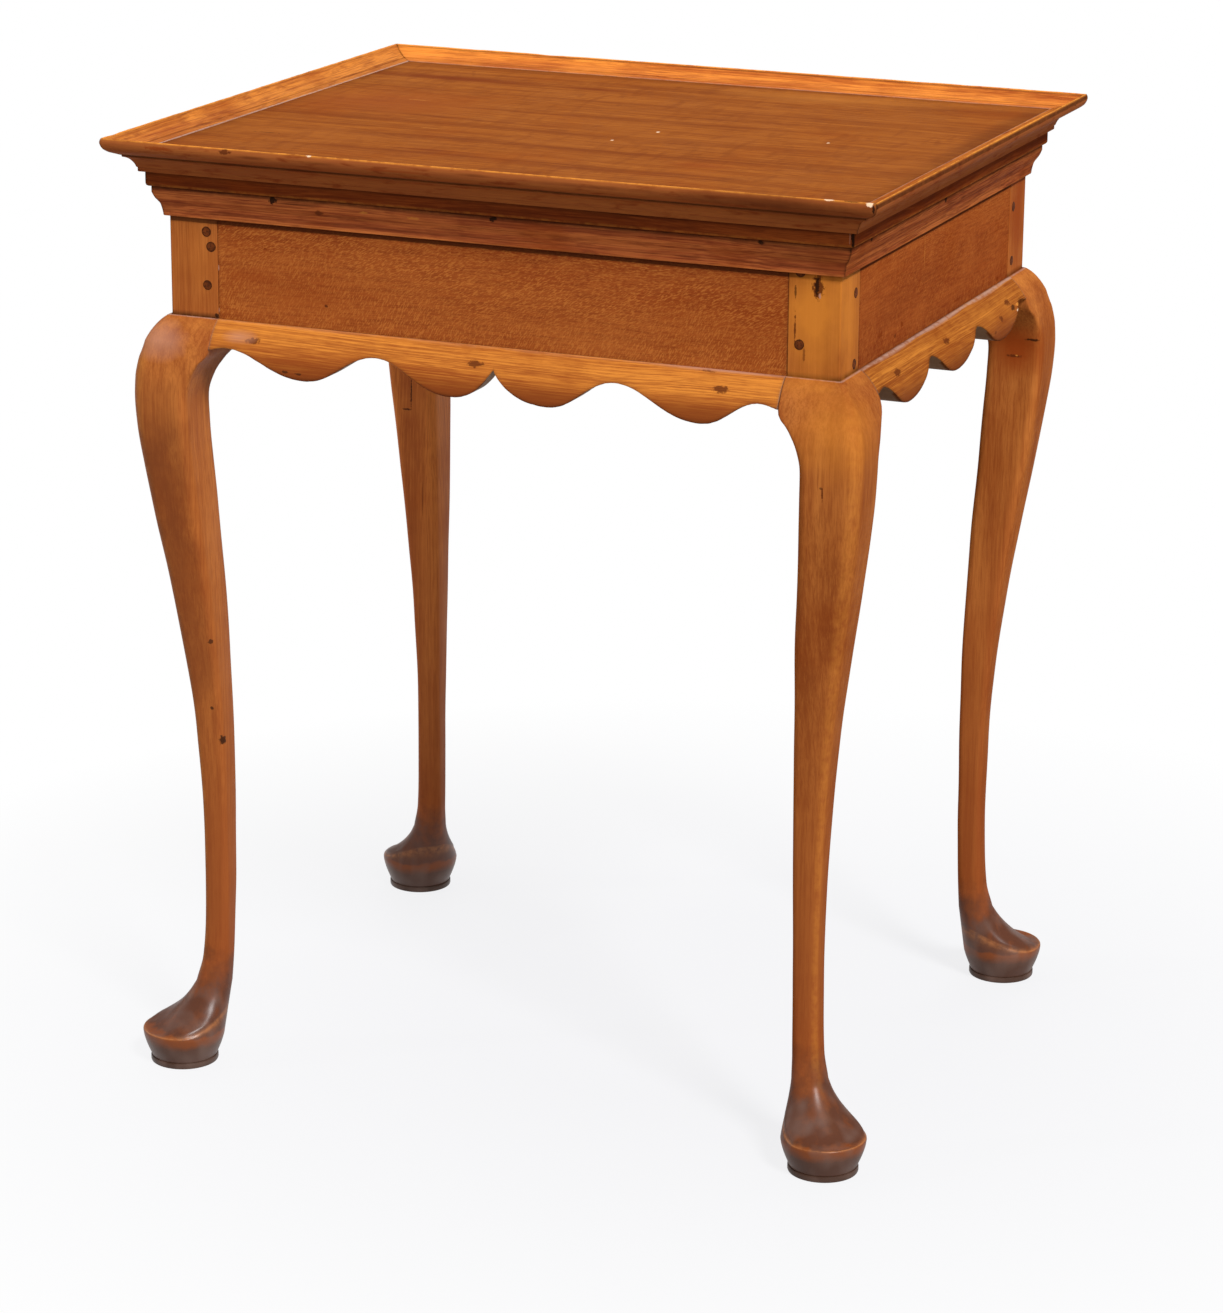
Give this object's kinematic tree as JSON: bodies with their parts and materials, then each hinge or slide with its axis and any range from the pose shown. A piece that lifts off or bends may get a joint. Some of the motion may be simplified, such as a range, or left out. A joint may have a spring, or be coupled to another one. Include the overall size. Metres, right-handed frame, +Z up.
{
  "type": "tray top tea table",
  "caption": "Rectangular wooden tea table with a raised moulded tray rim, scalloped skirts and cabriole legs on pad feet.",
  "frame": {"origin": "on the floor under the middle of the table", "axes": "+Z up, +X to the right as seen from the front, and the front faces -Y"},
  "size_m": [0.584, 0.488, 0.71],
  "materials": {
    "leg_wood": "satin, worn",
    "rail_wood": "satin",
    "skirt_wood": "satin",
    "moulding_wood": "satin",
    "board_wood": "satin, worn",
    "pin_wood": "end grain, satin",
    "nail_iron": "dark, aged",
    "block_wood": "raw"
  },
  "bodies": {
    "root": {"leg_back_right": "leg_wood", "leg_back_left": "leg_wood", "leg_front_left": "leg_wood", "leg_front_right": "leg_wood", "rail_front": "rail_wood", "rail_right": "rail_wood", "rail_back": "rail_wood", "rail_left": "rail_wood", "skirt_front": "skirt_wood", "skirt_right": "skirt_wood", "skirt_back": "skirt_wood", "skirt_left": "skirt_wood", "bed_moulding_front": "moulding_wood", "bed_moulding_right": "moulding_wood", "bed_moulding_back": "moulding_wood", "bed_moulding_left": "moulding_wood", "edge_strip_front": "moulding_wood", "edge_strip_right": "moulding_wood", "edge_strip_back": "moulding_wood", "edge_strip_left": "moulding_wood", "rim_moulding_front": "moulding_wood", "rim_moulding_right": "moulding_wood", "rim_moulding_back": "moulding_wood", "rim_moulding_left": "moulding_wood", "rail_pins_front": "pin_wood", "rail_pins_right": "pin_wood", "rail_pins_back": "pin_wood", "rail_pins_left": "pin_wood", "skirt_nails_front": "nail_iron", "skirt_nails_right": "nail_iron", "skirt_nails_back": "nail_iron", "skirt_nails_left": "nail_iron", "bed_moulding_brads_front": "nail_iron", "bed_moulding_brads_right": "nail_iron", "bed_moulding_brads_back": "nail_iron", "bed_moulding_brads_left": "nail_iron", "glue_blocks_front": "block_wood", "glue_blocks_right": "block_wood", "glue_blocks_back": "block_wood", "glue_blocks_left": "block_wood", "tray_board": "board_wood"}
  },
  "joints": []
}
